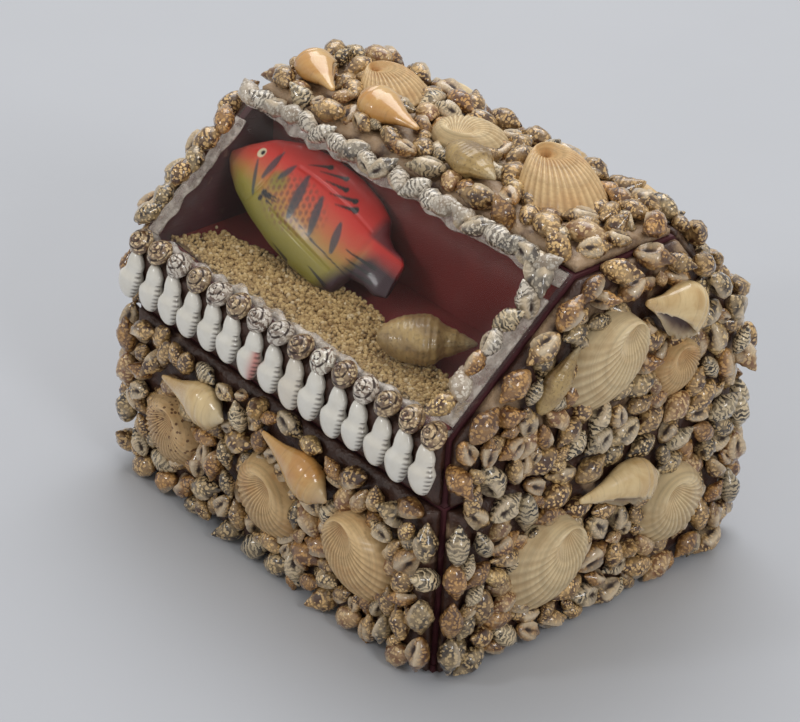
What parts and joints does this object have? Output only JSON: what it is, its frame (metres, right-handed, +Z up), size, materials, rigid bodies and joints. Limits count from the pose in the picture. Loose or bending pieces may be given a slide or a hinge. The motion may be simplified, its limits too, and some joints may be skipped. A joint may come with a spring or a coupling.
{
  "type": "shell-covered trinket box",
  "caption": "Small wooden trinket box covered in glued sea shells, with a lift-off lid whose sloping clear window shows a little beach scene with a carved fish.",
  "frame": {"origin": "middle of the underside of the tray", "axes": "+X to the right along the long front, -Y towards the window side, +Z up"},
  "size_m": [0.1689, 0.1418, 0.1311],
  "materials": {
    "painted_wood": "thin dark red paint, worn at the edges",
    "flock": "dark red flock",
    "window_film": "clear, slightly hazy sheet",
    "small_shells": "varnished small sea shells in clear glue",
    "pale_shells": "varnished pale sea shells in clear glue",
    "grey_shells": "varnished grey and white sea shells in milky glue",
    "cockle_cream": "ribbed shell, satin",
    "cockle_tan": "ribbed shell, satin",
    "cockle_spotted": "ribbed shell with brown spots, satin",
    "whelk_cream": "smooth glossy shell",
    "whelk_orange": "smooth glossy shell",
    "whelk_brown": "banded and knobbed shell, satin",
    "fish_paint": "glossy paint and varnish on carved wood",
    "sand": "coarse loose sand held by glue"
  },
  "bodies": {
    "root": {"back_cream_cockle": "cockle_cream", "back_spotted_cockle": "cockle_spotted", "back_tan_cockle": "cockle_tan", "carved_fish": "fish_paint", "display_whelk": "whelk_brown", "front_fan_cockle": "cockle_tan", "front_fringe_shells": "pale_shells", "front_orange_whelk": "whelk_orange", "front_pale_whelk": "whelk_cream", "front_spotted_cockle": "cockle_spotted", "front_tan_cockle": "cockle_tan", "left_cream_cockle": "cockle_cream", "left_orange_whelk": "whelk_orange", "left_tan_cockle": "cockle_tan", "lid_display_back": "flock", "lid_display_floor": "flock", "lid_front_rail": "painted_wood", "lid_left_cockle": "cockle_tan", "lid_left_shells": "small_shells", "lid_left_side": "painted_wood", "lid_left_small_cockle": "cockle_cream", "lid_open_whelk": "whelk_cream", "lid_pink_cockle": "cockle_tan", "lid_rear_rail": "painted_wood", "lid_rear_slope_board": "painted_wood", "lid_ribbed_cockle": "cockle_cream", "lid_right_shells": "small_shells", "lid_right_side": "painted_wood", "lid_spire_shell": "whelk_brown", "lid_top_board": "painted_wood", "lid_top_shells": "small_shells", "rear_cream_cockle": "cockle_cream", "rear_cream_whelk": "whelk_cream", "rear_rail_shells": "small_shells", "rear_slope_shells": "small_shells", "rear_tan_cockle": "cockle_tan", "right_cream_cockle": "cockle_cream", "right_cream_whelk": "whelk_cream", "right_far_cockle": "cockle_cream", "sand_bed": "sand", "top_fan_cockle": "cockle_cream", "top_fine_cockle": "cockle_tan", "top_knobbed_whelk": "whelk_brown", "top_left_whelk": "whelk_orange", "top_orange_whelk": "whelk_orange", "top_tan_cockle": "cockle_tan", "tray_back": "painted_wood", "tray_back_shells": "small_shells", "tray_floor": "painted_wood", "tray_front": "painted_wood", "tray_front_shells": "small_shells", "tray_left": "painted_wood", "tray_left_shells": "small_shells", "tray_right": "painted_wood", "tray_right_shells": "small_shells", "window": "window_film", "window_left_shells": "small_shells", "window_right_shells": "small_shells", "window_top_shells": "grey_shells"}
  },
  "joints": []
}
